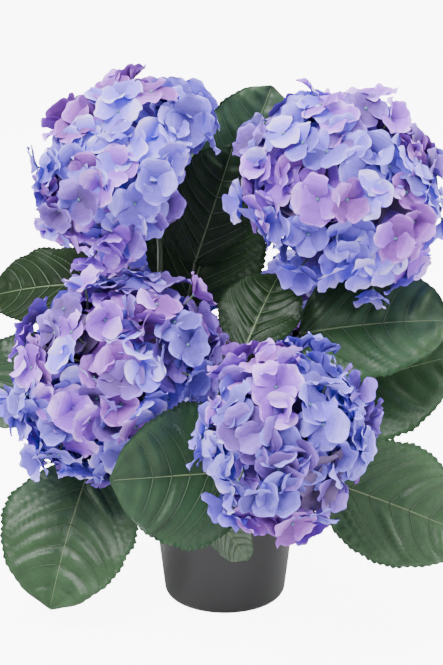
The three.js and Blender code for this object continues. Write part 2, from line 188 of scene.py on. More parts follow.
def evenly(path, steps):
    """Points that divide a path into steps of the same length."""
    lengths = np.concatenate([[0], np.cumsum(np.linalg.norm(np.diff(path, axis=0), axis=1))])
    wanted = np.linspace(0, lengths[-1], steps + 1)
    return np.stack([np.interp(wanted, lengths, path[:, k]) for k in range(3)], 1)


def smooth_curve(points, steps, samples=40):
    """Centripetal curve through the points, evenly spaced along its length."""
    p = [np.asarray(q, float) for q in points]
    p = [2 * p[0] - p[1], *p, 2 * p[-1] - p[-2]]
    t = np.linspace(0, 1, samples)[:, None]
    found = []
    for a, b, c, d in zip(p, p[1:], p[2:], p[3:]):
        k0, k1, k2 = (np.linalg.norm(n - m) ** 0.5 for m, n in ((a, b), (b, c), (c, d)))
        leave = ((b - a) / k0 - (c - a) / (k0 + k1) + (c - b) / k1) * k1
        arrive = ((c - b) / k1 - (d - b) / (k1 + k2) + (d - c) / k2) * k1
        found.append(b + leave * t + (3 * (c - b) - 2 * leave - arrive) * t**2
                     + (2 * (b - c) + leave + arrive) * t**3)
    return evenly(np.concatenate(found), steps)


def bend(start, leaving, end, arriving, steps, samples=60):
    """Curve from start to end, pulled along the ways of leaving and arriving."""
    t = np.linspace(0, 1, samples)[:, None]
    a, b, c, d = start, start + leaving, end - arriving, end
    curve = (1 - t)**3 * a + 3 * t * (1 - t)**2 * b + 3 * t * t * (1 - t) * c + t**3 * d
    return evenly(curve, steps)


def rounded(profile, reach=1.2, steps=4, most=0.4):
    """A profile with its corners rounded by reach, or by a share of their sides at most."""
    profile = [np.array(p, float) for p in profile]
    result = [profile[0]]
    for before, corner, after in zip(profile, profile[1:], profile[2:]):
        into, out = corner - before, after - corner
        cut = min(reach, most * np.linalg.norm(into), most * np.linalg.norm(out))
        a, b = corner - unit(into) * cut, corner + unit(out) * cut
        for t in np.linspace(0, 1, steps):
            result.append((1 - t) ** 2 * a + 2 * t * (1 - t) * corner + t * t * b)
    return result + [profile[-1]]


# Meshes

class Pile:
    """Points and faces of many small shapes for one mesh, with a material number for each face."""

    def __init__(self):
        self.points, self.corners, self.sizes, self.slots = [], [], [], []
        self.count = 0

    def add(self, points, *groups, slot=0):
        for faces in groups:
            self.corners.append((np.asarray(faces) + self.count).ravel())
            self.sizes.append(np.full(len(faces), len(faces[0])))
            self.slots.append(np.broadcast_to(slot, len(faces)))
        self.points.append(np.asarray(points, float).reshape(-1, 3))
        self.count += len(self.points[-1])

    def build(self, name, slot, materials, replaced):
        mesh = bpy.data.meshes.new(name)
        points = np.concatenate(self.points) * MM
        corners = np.concatenate(self.corners)
        sizes = np.concatenate(self.sizes)
        starts = np.concatenate([[0], np.cumsum(sizes)[:-1]])
        mesh.vertices.add(len(points))
        mesh.vertices.foreach_set("co", points.ravel().astype(np.float32))
        mesh.loops.add(len(corners))
        mesh.loops.foreach_set("vertex_index", corners.astype(np.int32))
        mesh.polygons.add(len(sizes))
        mesh.polygons.foreach_set("loop_start", starts.astype(np.int32))
        mesh.polygons.foreach_set("material_index", np.concatenate(self.slots).astype(np.int32))
        mesh.update(calc_edges=True)
        mesh.validate()
        mesh.shade_smooth()
        for material in materials:
            mesh.materials.append(material)
        piece = bpy.data.objects.new(name, mesh)
        bpy.context.scene.collection.objects.link(piece)
        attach(piece, "root")
        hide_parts(*replaced)


def grid(rows, columns):
    """Quads between the points of a grid."""
    at = np.arange(rows * columns).reshape(rows, columns)
    return np.stack([at[:-1, :-1], at[:-1, 1:], at[1:, 1:], at[1:, :-1]], 2).reshape(-1, 4)


def around(rings, sides):
    """Faces of a closed limb, whose rings of points are followed by the middles of its ends."""
    here = np.arange(rings * sides).reshape(rings, sides)
    after = np.roll(here, -1, axis=1)
    foot, tip = np.full(sides, rings * sides), np.full(sides, rings * sides + 1)
    quads = np.stack([here[:-1], after[:-1], after[1:], here[1:]], 2)
    ends = np.concatenate([np.stack([foot, after[0], here[0]], 1), np.stack([tip, here[-1], after[-1]], 1)])
    return quads.reshape(-1, 4), ends


def tube(pile, path, radii, sides, slot=0, relief=0):
    """Limb along a path, with closed ends. relief adds to the radius at each ring and side."""
    path = np.asarray(path, float)
    rings = len(path)
    tangents = np.gradient(path, axis=0)
    tangents /= np.linalg.norm(tangents, axis=1)[:, None]
    normal = across(tangents[0])[0]
    angles = 2 * np.pi * np.arange(sides) / sides
    radii = np.broadcast_to(radii, rings)[:, None] * np.ones(sides) + relief
    points = np.empty((rings, sides, 3))
    for i, tangent in enumerate(tangents):
        normal = unit(normal - tangent * normal.dot(tangent))
        other = np.cross(tangent, normal)
        spread = np.cos(angles)[:, None] * normal + np.sin(angles)[:, None] * other
        points[i] = path[i] + radii[i][:, None] * spread
    pile.add(np.concatenate([points.reshape(-1, 3), path[:1], path[-1:]]), *around(rings, sides), slot=slot)


def turned(pile, profile, sides, place=None):
    """Closed shape turned about +Z from radii and heights, the first and last of them on the axis."""
    profile = np.asarray(profile, float)
    angles = 2 * np.pi * np.arange(sides) / sides
    ring = np.stack([np.cos(angles), np.sin(angles), np.zeros(sides)], 1)
    between = profile[1:-1, :, None, None]
    points = (between[:, 0] * ring + between[:, 1] * UP).reshape(-1, 3)
    points = np.concatenate([points, [UP * profile[0][1]], [UP * profile[-1][1]]])
    if place:
        points = place(points)
    pile.add(points, *around(len(between), sides))


# Materials

SHEEN_ROUGHNESS, GRAIN_DETAIL = 0.4, 2
# Patches of a surface that are glossier or duller
GLOSS = Sizes(scale=60, detail=4, low=0.3, high=0.7)


def fill(node, **values):
    """Sets inputs of a node, with an underscore for each space in their names."""
    for name, value in values.items():
        node.inputs[name.replace("_", " ")].default_value = value


def material(name, colour, roughness, bumps=(), sheen=0.0, specular=0.5, uneven=0.0):
    """Plain coloured surface with fine relief and uneven gloss. Bumps are (size, height) in mm."""
    made = bpy.data.materials.new(name)
    made.use_nodes = True
    nodes, links = made.node_tree.nodes, made.node_tree.links
    shader = nodes["Principled BSDF"]
    fill(shader, Base_Color=(*colour, 1), Roughness=roughness, Specular_IOR_Level=specular,
         Sheen_Weight=sheen, Sheen_Roughness=SHEEN_ROUGHNESS)
    place = nodes.new("ShaderNodeTexCoord")

    def noise(scale, detail):
        found = nodes.new("ShaderNodeTexNoise")
        fill(found, Scale=scale, Detail=detail)
        links.new(place.outputs["Object"], found.inputs["Vector"])
        return found.outputs["Fac"]

    before = None
    for size, height in bumps:
        relief = nodes.new("ShaderNodeBump")
        fill(relief, Strength=1, Distance=height * MM)
        links.new(noise(1 / (size * MM), GRAIN_DETAIL), relief.inputs["Height"])
        if before:
            links.new(before.outputs["Normal"], relief.inputs["Normal"])
        before = relief
    if before:
        links.new(before.outputs["Normal"], shader.inputs["Normal"])
    if uneven:
        spread = nodes.new("ShaderNodeMapRange")
        fill(spread, From_Min=GLOSS.low, From_Max=GLOSS.high)
        fill(spread, To_Min=roughness - uneven, To_Max=roughness + uneven)
        links.new(noise(GLOSS.scale, GLOSS.detail), spread.inputs["Value"])
        links.new(spread.outputs["Result"], shader.inputs["Roughness"])
    return made


# Tones of the petals at their heart, at their middle and at their rim. The darker heart is partly the
# cloth's own colour and partly painted shade where the petals overlap
PETAL_TONES = {
    "light": ((0.19, 0.13, 0.8), (0.275, 0.19, 0.97), (0.56, 0.47, 0.98)),
    "blue": ((0.11, 0.075, 0.42), (0.17, 0.115, 0.68), (0.36, 0.29, 0.97)),
    "dusk": ((0.08, 0.055, 0.28), (0.13, 0.093, 0.51), (0.27, 0.22, 0.86)),
    "violet": ((0.09, 0.046, 0.2), (0.15, 0.066, 0.38), (0.30, 0.165, 0.74)),
    "lilac": ((0.22, 0.065, 0.48), (0.35, 0.098, 0.76), (0.63, 0.345, 0.98)),
    "mauve": ((0.15, 0.043, 0.26), (0.26, 0.068, 0.45), (0.5, 0.205, 0.8)),
    "deep": ((0.07, 0.042, 0.1), (0.1, 0.062, 0.155), (0.145, 0.09, 0.24)),
}
PETAL_ZONES, PETAL_MIDDLE = 8, 0.55
# Tone that a petal has now and then instead of its floret's own, and a floret's tone in the shade
NEIGHBOUR = {"light": "blue", "blue": "light", "dusk": "blue", "violet": "blue", "lilac": "light",
             "mauve": "lilac", "deep": "deep"}
SHADED = {"light": "blue", "blue": "dusk", "dusk": "violet", "violet": "deep", "lilac": "mauve",
          "mauve": "violet"}
NEIGHBOUR_CHANCE, SHADED_CHANCE = 0.1, 0.5
LILAC_TONES = ("lilac", "mauve")

# Colour and gloss of the upper sides of the leaves, all of one cloth: the dark and shade tones are painted
# shade on leaves in the shadow of the flower balls, and the light and bright tones painted light on lit
# leaves
LEAF_TONES = {
    "dark": ((0.01, 0.027, 0.008), 0.2),
    "mid": ((0.021, 0.054, 0.022), 0.3),
    "light": ((0.026, 0.066, 0.025), 0.34),
    "bright": ((0.029, 0.072, 0.029), 0.36),
    "shade": ((0.009, 0.021, 0.007), 0.08),
    "pale": ((0.085, 0.125, 0.08), 0.3),
}
# Strength of a leaf's tone from the furrows along its veins to the swells between them: painted shade in
# the furrows and painted light on the swells
LEAF_SHADES = (0.74, 0.88, 1.02, 1.16)
GRANULE_COLOURS = [(0.03, 0.019, 0.012), (0.05, 0.032, 0.02), (0.016, 0.011, 0.008)]


def petal_shades(tone, colours):
    """Materials of one tone's petals, zone by zone from heart to rim."""
    found = []
    for zone in range(PETAL_ZONES):
        share = zone / (PETAL_ZONES - 1)
        colour = [float(np.interp(share, (0, PETAL_MIDDLE, 1), channel)) for channel in zip(*colours)]
        found.append(material(f"petal_{tone}_{zone}", colour, roughness=0.72,
                              bumps=[(3.6, 0.5), (0.5, 0.05)], sheen=0.08, specular=0.2))
    return found


def leaf_shades(tone, colour, gloss):
    """Materials of one tone's leaves, from painted shade in the furrows to painted light on the swells."""
    return [material(f"leaf_{tone}_{shade}", [strength * c for c in colour], roughness=0.44,
                     bumps=[(7, 0.6), (0.7, 0.04)], specular=gloss, uneven=0.07)
            for shade, strength in enumerate(LEAF_SHADES)]


petal_looks = {tone: petal_shades(tone, colours) for tone, colours in PETAL_TONES.items()}
bead_look = material("bead", (0.1, 0.19, 0.26), roughness=0.5, bumps=[(0.6, 0.08)])
pedicel_look = material("pedicel", (0.06, 0.095, 0.04), roughness=0.6, bumps=[(0.8, 0.08)])
leaf_looks = [look for tone, values in LEAF_TONES.items() for look in leaf_shades(tone, *values)]
under_look = material("leaf_underside", (0.05, 0.085, 0.045), roughness=0.62,
                      bumps=[(3.2, 0.4), (0.9, 0.1)], specular=0.3)
vein_look = material("leaf_midrib", (0.13, 0.18, 0.085), roughness=0.5, bumps=[(0.7, 0.06)])
side_vein_look = material("leaf_side_vein", (0.043, 0.082, 0.036), roughness=0.5, bumps=[(0.7, 0.06)])
stem_look = material("stem", (0.04, 0.062, 0.022), roughness=0.5, bumps=[(1.4, 0.25)], uneven=0.08)
trunk_look = material("main_stem", (0.05, 0.06, 0.025), roughness=0.55, bumps=[(1.6, 0.35)], uneven=0.08)
pot_look = material("pot_plastic", (0.027, 0.027, 0.027), roughness=0.36,
                    bumps=[(0.45, 0.035)], uneven=0.06)
granule_looks = [material(f"granule_{k}", colour, roughness=0.9, bumps=[(0.7, 0.25)], specular=0.2)
                 for k, colour in enumerate(GRANULE_COLOURS)]


# Pot, filler and main stem

POT_SIDES = 144
FILLER_TOP = POT.height - FILLER.drop
TRUNK_FOOT = UP * (FILLER_TOP + FILLER.mound + SEAT)
HUB_TOP = TRUNK_FOOT + np.array([*TRUNK.lean, TRUNK.height])
# Bed and granules of the filler, below the solid's surface
BED = Sizes(slack=0.2, rings=24, sides=96, below=1.2)
GRANULES = Sizes(count=1500, radii=(1.1, 2.3), below=0.9, stretch=(0.7, 1.1), rough=(0.85, 1.15))
TRUNK_MESH = Sizes(rows=48, sides=72)
# Ridges of the main stem: height as a share of its radius, count and slant
TRUNK_RIDGES = [(0.035, 9, 4), (0.025, 17, -6), (0.02, 3, 40)]
RIDGES_SUNK = 0.06


def outer(z):
    return POT.foot + (POT.top - POT.foot) * z / POT.height


def inner(z):
    return outer(z) - POT.wall


def make_pot():
    lip_foot, high, edge = POT.height - LIP.height, POT.height, LIP.edge
    heel, cut = POT.heel, POT.heel * POT.cut
    profile = [
        (0, 0),
        (POT.foot - heel, 0),
        (POT.foot - cut, cut),
        (outer(heel), heel),
        (outer(lip_foot), lip_foot),
        (outer(lip_foot) + LIP.out, lip_foot + edge),
        (outer(high) + LIP.out, high - edge),
        (outer(high) + LIP.out - edge, high),
        (inner(high), high),
        (inner(POT.floor), POT.floor),
        (0, POT.floor),
    ]
    pile = Pile()
    turned(pile, rounded(profile), POT_SIDES)
    pile.build("pot_shell", "pot", [pot_look], ["pot"])


def mound_height(radius):
    edge = inner(FILLER_TOP)
    share = np.clip((edge - radius) / (edge - FILLER.stand), 0, 1)
    return FILLER_TOP + FILLER.mound * np.sin(share * np.pi / 2)


def make_filler():
    """Bed of the filler and the granules on it, with none under the main stem."""
    rng = np.random.default_rng(5)
    foot, slack = POT.floor + SEAT, SEAT + BED.slack
    edge = inner(FILLER_TOP) - slack
    pile = Pile()
    top = [(r, mound_height(r) - BED.below) for r in np.linspace(edge, 0, BED.rings)]
    turned(pile, [(0, foot), (inner(foot) - slack, foot), *top], BED.sides)
    ball_points, ball_faces = pebble()
    for _ in range(GRANULES.count):
        size = rng.uniform(*GRANULES.radii)
        radius = (edge - size) * math.sqrt(rng.random())
        turn = rng.uniform(0, 2 * math.pi)
        height = mound_height(radius) - GRANULES.below
        middle = np.array([radius * math.cos(turn), radius * math.sin(turn), height])
        if radius < TRUNK_PROFILE[0][1] + size:
            continue
        shape = ball_points * rng.uniform(*GRANULES.stretch, 3)
        shape = shape * rng.uniform(*GRANULES.rough, (len(ball_points), 1))
        pile.add(middle + size * shape, ball_faces, slot=rng.integers(len(granule_looks)))
    pile.build("filler_granules", "filler", granule_looks, ["filler"])


def pebble():
    """Points and triangles of a unit icosahedron."""
    g = (1 + math.sqrt(5)) / 2
    pairs = [(a, b * g) for b in (1, -1) for a in (-1, 1)]
    points = [(a, b, 0) for a, b in pairs] + [(0, a, b) for a, b in pairs] + [(b, 0, a) for a, b in pairs]
    faces = np.array([(0, 11, 5), (0, 5, 1), (0, 1, 7), (0, 7, 10), (0, 10, 11), (1, 5, 9), (5, 11, 4),
                      (11, 10, 2), (10, 7, 6), (7, 1, 8), (3, 9, 4), (3, 4, 2), (3, 2, 6), (3, 6, 8),
                      (3, 8, 9), (4, 9, 5), (2, 4, 11), (6, 2, 10), (8, 6, 7), (9, 8, 1)])
    return np.array(points) / math.hypot(1, g), faces


def trunk_radius(share):
    shares, radii = zip(*TRUNK_PROFILE)
    return np.interp(share, shares, radii)


def make_trunk():
    """Main stem with long ridges."""
    shares = np.linspace(0, 1, TRUNK_MESH.rows)
    profile = [(0, 0), *((trunk_radius(s), s * TRUNK.height) for s in shares), (0, TRUNK.height)]

    def ridged(points):
        turn = np.arctan2(points[:, 1], points[:, 0])
        share = points[:, 2] / TRUNK.height
        ridges = sum(size * np.sin(count * turn + slant * share) for size, count, slant in TRUNK_RIDGES)
        scale = 1 - RIDGES_SUNK + ridges
        points = points * np.stack([scale, scale, np.ones(len(points))], 1)
        return TRUNK_FOOT + points + share[:, None] * np.array([*TRUNK.lean, 0])

    pile = Pile()
    turned(pile, profile, TRUNK_MESH.sides, place=ridged)
    pile.build("main_stem_ridged", "stem", [trunk_look], ["main_stem"])


# Stems

# Swollen nodes of a stem, their part and length as shares of it, and its ribs
KNOBS = Sizes(count=3, part=(0.12, 0.9), height=0.35, length=0.02)
RIBS = Sizes(height=0.09, count=4, slant=9, rough=0.07)
STEM_MESH = Sizes(steps=60, sides=12, slack=0.2)
SHOOT_MESH = Sizes(steps=50, sides=10)
PETIOLE_MESH = Sizes(points=14, sides=9, radii=(1.5, 1.125))


def neck_of(bloom):
    return np.array(bloom.centre) - heading(*bloom.aim) * BALL.neck * bloom.radii[1]


def knobbly(path, radius_foot, radius_tip, rng, sides):
    """Radii of a stem with a few swollen nodes, and the relief of its ribs."""
    t = np.linspace(0, 1, len(path))
    radii = radius_foot + (radius_tip - radius_foot) * t
    for place in rng.uniform(*KNOBS.part, KNOBS.count):
        radii = radii + KNOBS.height * np.exp(-((t - place) / KNOBS.length) ** 2)
    turn = 2 * np.pi * np.arange(sides) / sides
    ribs = RIBS.height * np.sin(RIBS.count * turn + RIBS.slant * t[:, None])
    return radii, ribs + RIBS.rough * rng.standard_normal((len(path), sides))


def make_flower_stems():
    pile = Pile()
    rng = np.random.default_rng(11)
    sides = STEM_MESH.sides
    for bloom in BLOOMS.values():
        foot = HUB_TOP + heading(bloom.ring, 0) * STEM.ring + UP * SEAT
        neck = neck_of(bloom)
        rising, arriving = foot + UP * STEM.rise, neck - heading(*bloom.aim) * STEM.reach
        middle = (rising + arriving) / 2 + np.array(bloom.bow)
        path = smooth_curve([foot, rising, middle, arriving, neck], STEM_MESH.steps)
        widths, relief = knobbly(path, STEM.foot - STEM_MESH.slack, STEM.tip, rng, sides)
        tube(pile, path, widths, sides, relief=relief)
    pile.build("flower_stems", "stem", [stem_look], [f"flower_stem_{name}" for name in BLOOMS])


def shoot_path(start, node):
    if start is None:
        leaving, arriving = np.array(LEADER.leaving), np.array(LEADER.arriving)
        return bend(HUB_TOP + UP * SEAT, leaving, node, arriving, SHOOT_MESH.steps)
    angle, height = start
    out = heading(angle, 0)
    share = height / TRUNK.height
    foot = TRUNK_FOOT + (HUB_TOP - TRUNK_FOOT) * share + out * (trunk_radius(share) + SEAT)
    way = node - foot
    flat = unit(np.array([way[0], way[1], 0]))
    arriving = unit(flat + UP * (SHOOT.steep if way[2] > SHOOT.high else SHOOT.shallow))
    pull = np.linalg.norm(way) * SHOOT.pull
    return bend(foot, out * SHOOT.outset, node, arriving * pull, SHOOT_MESH.steps)


# Petals and florets

# How far the zones follow the length of a petal and its rim, the latter less at its foot
ZONING = Sizes(along=0.84, rim=0.4, power=4, foot=0.4)


class PetalGrid:
    """Places on a round petal of radius 1, its faces, and the zone of each face from heart to rim."""

    def __init__(self, rows, columns):
        p = np.linspace(-1, 1, rows)[:, None]
        q = np.linspace(-1, 1, columns)[None, :]
        self.x, self.y = p * np.sqrt(1 - q**2 / 2), q * np.sqrt(1 - p**2 / 2)
        self.rim = np.maximum(np.abs(p), np.abs(q)) + 0 * self.x
        self.faces = grid(rows, columns)
        along = self.x.ravel()[self.faces].mean(1) / 2 + 0.5
        rim = self.rim.ravel()[self.faces].mean(1)
        at_rim = ZONING.rim * rim**ZONING.power * (ZONING.foot + (1 - ZONING.foot) * along)
        outward = np.clip(ZONING.along * along + at_rim, 0, 1)
        self.zone = np.round(outward * (PETAL_ZONES - 1)).astype(int)


FINE, MIDDLING, COARSE = PetalGrid(10, 10), PetalGrid(8, 7), PetalGrid(6, 5)

# Outline of a petal: waves as height and count, notch as depth and width, claw as width, length, power
OUTLINE = Sizes(waves=((0.04, 3), (0.04, 5)), notch=(0.09, 0.25), claw=(0.3, 0.42, 0.8))
# Relief of a petal, with the waves of its frill and its ripples as height and count
RELIEF = Sizes(dish=(-0.08, 0.16), crease=(0.01, 0.045), crease_width=0.13,
               frill=((0.06, 4), (0.045, 7)), strength=(0.6, 1.5), ripple=(0.012, 9))
# Gap at the foot of a petal, as a share of its length
PETAL_GAP = 0.04


def waves(kinds, turn, shifts):
    """Sum of waves that are given by height and count."""
    return sum(size * np.sin(count * turn + shift) for (size, count), shift in zip(kinds, shifts))


def petal(shape, length, breadth, start, roll, rng):
    """Petal along +X with a narrow claw and a ruffled blade. It rises at start and bends back by roll."""
    turn = np.arctan2(shape.y, shape.x)
    a, b, c, d, e = rng.uniform(0, 2 * np.pi, 5)
    uneven = 1 + shape.rim**2 * waves(OUTLINE.waves, turn, (a, b))
    depth, width = OUTLINE.notch
    notch = depth * rng.random() * np.exp(-(turn / width) ** 2) * shape.rim**3
    t = 0.5 + 0.5 * shape.x * (uneven - notch)
    narrow, full, power = OUTLINE.claw
    claw = narrow + (1 - narrow) * np.clip(t / full, 0, 1) ** power
    side = shape.y * uneven * claw
    bent = start - roll * t
    x = length * (PETAL_GAP + (np.sin(start) - np.sin(bent)) / roll)
    z = length * (np.cos(bent) - np.cos(start)) / roll
    dish, crease = rng.uniform(*RELIEF.dish), rng.uniform(*RELIEF.crease)
    frill = waves(RELIEF.frill, turn, (c, d))
    lift = dish * side**2 + shape.rim**3 * t * frill * rng.uniform(*RELIEF.strength)
    lift = lift - crease * np.exp(-(side / RELIEF.crease_width) ** 2) * 4 * t * (1 - t)
    height, count = RELIEF.ripple
    lift = length * (lift + height * np.sin(count * side + e) * np.sin(np.pi * t))
    y = breadth / 2 * side
    x, z = x - np.sin(bent) * lift, z + np.cos(bent) * lift
    return np.stack(np.broadcast_arrays(x, y, z), 2).reshape(-1, 3)


# How petals stand, open, cupped or spread, by rise and bend in degrees, and the shares of the florets
STANDS = [(34, 50), (60, 62), (20, 46)]
STAND_SHARES = [0.5, 0.27, 0.23]
# How much petals differ, in degrees but for the turn. Every other one rises above the rest
SPREAD = Sizes(turn=0.07, rise=7, above=7, bend=16, least_bend=12, tilt=9)
# Length and breadth of a petal as shares of the layer's size
PETAL_LENGTHS, PETAL_BREADTHS = (0.92, 1.06), (1.06, 1.26)
# Radii and heights of the bead
BEAD = [(0, -0.8), (1.15, -0.55), (1.75, 0.1), (1.5, 0.95), (0.8, 1.55), (0, 1.8)]
BEAD_SIDES = 7


def add_floret(petals, beads, shape, spot, size, tone, leaves, rng):
    """Four petals that overlap in turn, less any that would touch a leaf, and their bead."""
    place, normal, spin = spot
    axes = np.stack([*across(normal), normal])
    rise, back = STANDS[rng.choice(len(STANDS), p=STAND_SHARES)]
    for k in range(4):
        odd = k % 2
        angle = spin + k * math.pi / 2 + rng.normal(0, SPREAD.turn)
        start = math.radians(rise + rng.normal(0, SPREAD.rise) + SPREAD.above * odd)
        roll = math.radians(max(SPREAD.least_bend, back + rng.normal(0, SPREAD.bend)))
        length, breadth = size * rng.uniform(*PETAL_LENGTHS), size * rng.uniform(*PETAL_BREADTHS)
        points = petal(shape, length, breadth, start, roll, rng)
        points = points @ turn_about((1, 0, 0), rng.normal(0, SPREAD.tilt))
        points = place + points @ turn_about((0, 0, 1), math.degrees(angle)) @ axes
        own = NEIGHBOUR[tone] if rng.random() < NEIGHBOUR_CHANCE else tone
        # Upper petals are paler as painted light and the lower ones under them darker as painted shade, by
        # a zone and up to one more or less
        painted_shading = (1 if odd else -1) + int(10 * angle) % 3 - 1
        zones = np.clip(shape.zone + painted_shading, 0, PETAL_ZONES - 1)
        if not BVHTree.FromPolygons(points.tolist(), shape.faces.tolist()).overlap(leaves):
            petals[own].add(points, shape.faces, slot=zones)
    if beads:
        turned(beads, BEAD, BEAD_SIDES, place=lambda p: place + p @ axes)


# Flower balls

def floret_spots(bloom, seed, inset, shift):
    """Places and turns of florets on the golden-angle spiral of the solids."""
    random = seeded(seed)
    axis = heading(*bloom.aim)
    wide, long = bloom.radii
    right, front = across(axis)
    lowest = math.cos(math.radians(BALL.cover))
    lean = math.tan(math.radians(BALL.lean))
    spots = []
    for i in range(BALL.florets):
        cosine = 1 - (1 - lowest) * (i + 0.5 + shift / 2) / BALL.florets
        sine = math.sqrt(1 - cosine**2)
        turn = (i + shift) * GOLDEN
        depth = inset + BALL.step * (i % 3)
        side, tall = wide - depth, long - depth
        out = right * math.cos(turn) + front * math.sin(turn)
        offset = out * sine * side + axis * cosine * tall
        normal = out * sine / side + axis * cosine / tall
        if bloom.stretch:
            *toward, share = bloom.stretch
            direction = heading(*toward)
            offset = offset + direction * offset.dot(direction) * share
            normal = normal - direction * normal.dot(direction) * share / (1 + share)
        normal = unit(normal)
        u, v = across(normal)
        normal = unit(normal + u * lean * (2 * next(random) - 1) + v * lean * (2 * next(random) - 1))
        spin = next(random) * math.pi / 2
        if bloom.bare:
            *toward, half_angle = bloom.bare
            if unit(offset).dot(heading(*toward)) > math.cos(math.radians(half_angle)):
                continue
        spots.append((np.array(bloom.centre) + offset, normal, spin))
    return spots


def patches_of(name):
    """Directions and tones of a ball's patches, random where it has none."""
    if name in PATCHES:
        return [(heading(*place), tone) for tone, places in PATCHES[name].items() for place in places]
    rng = np.random.default_rng(len(name) * 7 + 3)
    return [(heading(rng.uniform(-180, 180), rng.uniform(-40, 85)), tone) for tone in BACK_TONES]


def tone_at(patches, direction, rng):
    """Tone of the nearest patch of a ball, or one dealt out where none is near."""
    closeness = [direction.dot(way) for way, _ in patches]
    best = int(np.argmax(closeness))
    if closeness[best] > math.cos(math.radians(PATCH_REACH)):
        return patches[best][1]
    return str(rng.choice(list(DEALT), p=list(DEALT.values())))


# Layers of florets from outside to inside: depth, shift along the spiral, size of the petals, random
# lean of the florets, how far they sink or stand out, and grid of their petals
Layer = namedtuple("Layer", "inset shift petal lean sink shape")
LAYERS = [
    Layer(10.5, 0, 20.6, 0.28, 1.5, FINE),
    Layer(13, 0.5, 20, 0.36, 3, FINE),
    Layer(20, 1.3, 21, 0.36, 3, FINE),
    Layer(23, 1.8, 22, 0.34, 3, MIDDLING),
    Layer(32, 0.8, 24, 0.3, 3, COARSE),
    Layer(41, 2.1, 25, 0.25, 2, COARSE),
]
# Florets from this layer on may have the tone of the shade
SHADED_FROM = 2
FLORET_SIZES = (0.92, 1.05)
SEED = Sizes(first=101, ball=37, layer=300)
# Branches inside a ball, their common stalk, and the stalk of each floret
FORKS = Sizes(count=12, part=1.5, reach=0.42, overlap=2, radii=(1.9, 1.3), steps=5, sides=7)
CORE = Sizes(tip=2.6, past=3, steps=6, sides=9)
PEDICEL = Sizes(behind=0.4, leaving=8, arriving=9, radii=(1.0, 0.75), steps=6, sides=5)


def add_branches(stalks, bloom):
    """Branches inside a ball and the stalk below them. Returns where the branches end."""
    wide, long = bloom.radii
    axis = heading(*bloom.aim)
    core, neck = np.array(bloom.centre) - axis * BALL.sunk * long, neck_of(bloom)
    right, front = across(axis)
    forks = []
    for k in range(FORKS.count):
        cosine = 1 - FORKS.part * (k + 0.5) / FORKS.count
        sine = math.sqrt(1 - cosine**2)
        way = axis * cosine + (right * math.cos(k * GOLDEN) + front * math.sin(k * GOLDEN)) * sine
        forks.append(core + way * FORKS.reach * wide)
        path = evenly(np.array([core - way * FORKS.overlap, forks[-1]]), FORKS.steps)
        tube(stalks, path, np.linspace(*FORKS.radii, len(path)), FORKS.sides)
    path = evenly(np.array([neck + axis * SEAT, core + axis * CORE.past]), CORE.steps)
    tube(stalks, path, np.linspace(STEM.tip, CORE.tip, len(path)), CORE.sides)
    return np.array(forks)


def add_pedicel(stalks, forks, place, normal):
    """Stalk of one floret, from the nearest branch."""
    fork = forks[np.argmin(np.linalg.norm(forks - place, axis=1))]
    end = place - normal * PEDICEL.behind
    leaving, arriving = unit(end - fork) * PEDICEL.leaving, normal * PEDICEL.arriving
    path = bend(fork, leaving, end, arriving, PEDICEL.steps)
    tube(stalks, path, np.linspace(*PEDICEL.radii, len(path)), PEDICEL.sides)


def shaded_tone(tone, index, layer, rng):
    """Tone of a floret in its layer's shade. The innermost are violet or deep."""
    if layer.shape is COARSE:
        return "violet" if rng.random() < SHADED_CHANCE else "deep"
    if index >= SHADED_FROM and rng.random() < SHADED_CHANCE:
        return SHADED[tone]
    return tone


def make_flower_balls(leaves):
    petals = {tone: Pile() for tone in PETAL_TONES}
    beads, stalks = Pile(), Pile()
    rng = np.random.default_rng(23)
    for number, (name, bloom) in enumerate(BLOOMS.items()):
        centre = np.array(bloom.centre)
        patches = patches_of(name)
        forks = add_branches(stalks, bloom)
        for index, layer in enumerate(LAYERS):
            outside = layer.shape is FINE
            seed = SEED.first + SEED.ball * number + SEED.layer * index
            for place, normal, spin in floret_spots(bloom, seed, layer.inset, layer.shift):
                outward = normal
                normal = unit(normal + rng.normal(0, layer.lean, 3))
                place = place + outward * rng.uniform(-layer.sink, layer.sink)
                tone = shaded_tone(tone_at(patches, unit(place - centre), rng), index, layer, rng)
                size = layer.petal * rng.uniform(*FLORET_SIZES)
                spot = (place, normal, spin)
                add_floret(petals, beads if outside else None, layer.shape, spot, size, tone, leaves, rng)
                if outside:
                    add_pedicel(stalks, forks, place, normal)
    names = [f"flower_ball_{name}" for name in BLOOMS]
    for tone, pile in petals.items():
        slot = "lilac_petal" if tone in LILAC_TONES else "blue_petal"
        pile.build(f"petals_{tone}", slot, petal_looks[tone], names)
    beads.build("floret_beads", "blue_petal", [bead_look], names)
    stalks.build("floret_stalks", "stem", [pedicel_look], names)


# Leaves

# Side veins, and how far the cloth bulges between them on a leaf of the given length
VEINS = Sizes(first=0.02, spacing=0.135, count=6, reach=0.58, bulge=1.9, length=120)
LEAF_TEETH = 24
# Reach of the edge at the three rows of a tooth
TOOTH = (0.97, 0.986, 1.0)
HALF_COLUMNS = 14
# Where the tip begins, how far it narrows, and by which power
TIP = Sizes(start=0.92, narrowing=0.55, power=1.3)
# Waves of the edge under its teeth, as height and count
EDGE_WAVES = [(0.012, 19), (0.01, 43)]
# Swells between the veins: where they fade, their steady height, how they differ from one to the next
# and along each, and where they are pleated
SWELLS = Sizes(midrib=0.14, past=1.04, edge=0.3, tip=0.2, steady=0.9, apart=(0.55, 2.4, 1.7),
               along=(0.35, 5, 1.9), pleated=0.2, power=0.8)
# Pleats between two side veins as height, count and slant, and waves of the edges as height and count
PLEATS = [(0.17, 2, 2.5), (0.12, 3.1, -4)]
SWAYS = [(1.8, 1.3), (1.3, 2.7), (0.9, 4.1)]
# How many shades up each place of a leaf is: painted shade in the furrows along the veins, painted light on
# the swells, random patches, and lighter towards the edge
SHADING = Sizes(furrow=1.3, swell=1.1, patchy=0.55, edge=0.5)
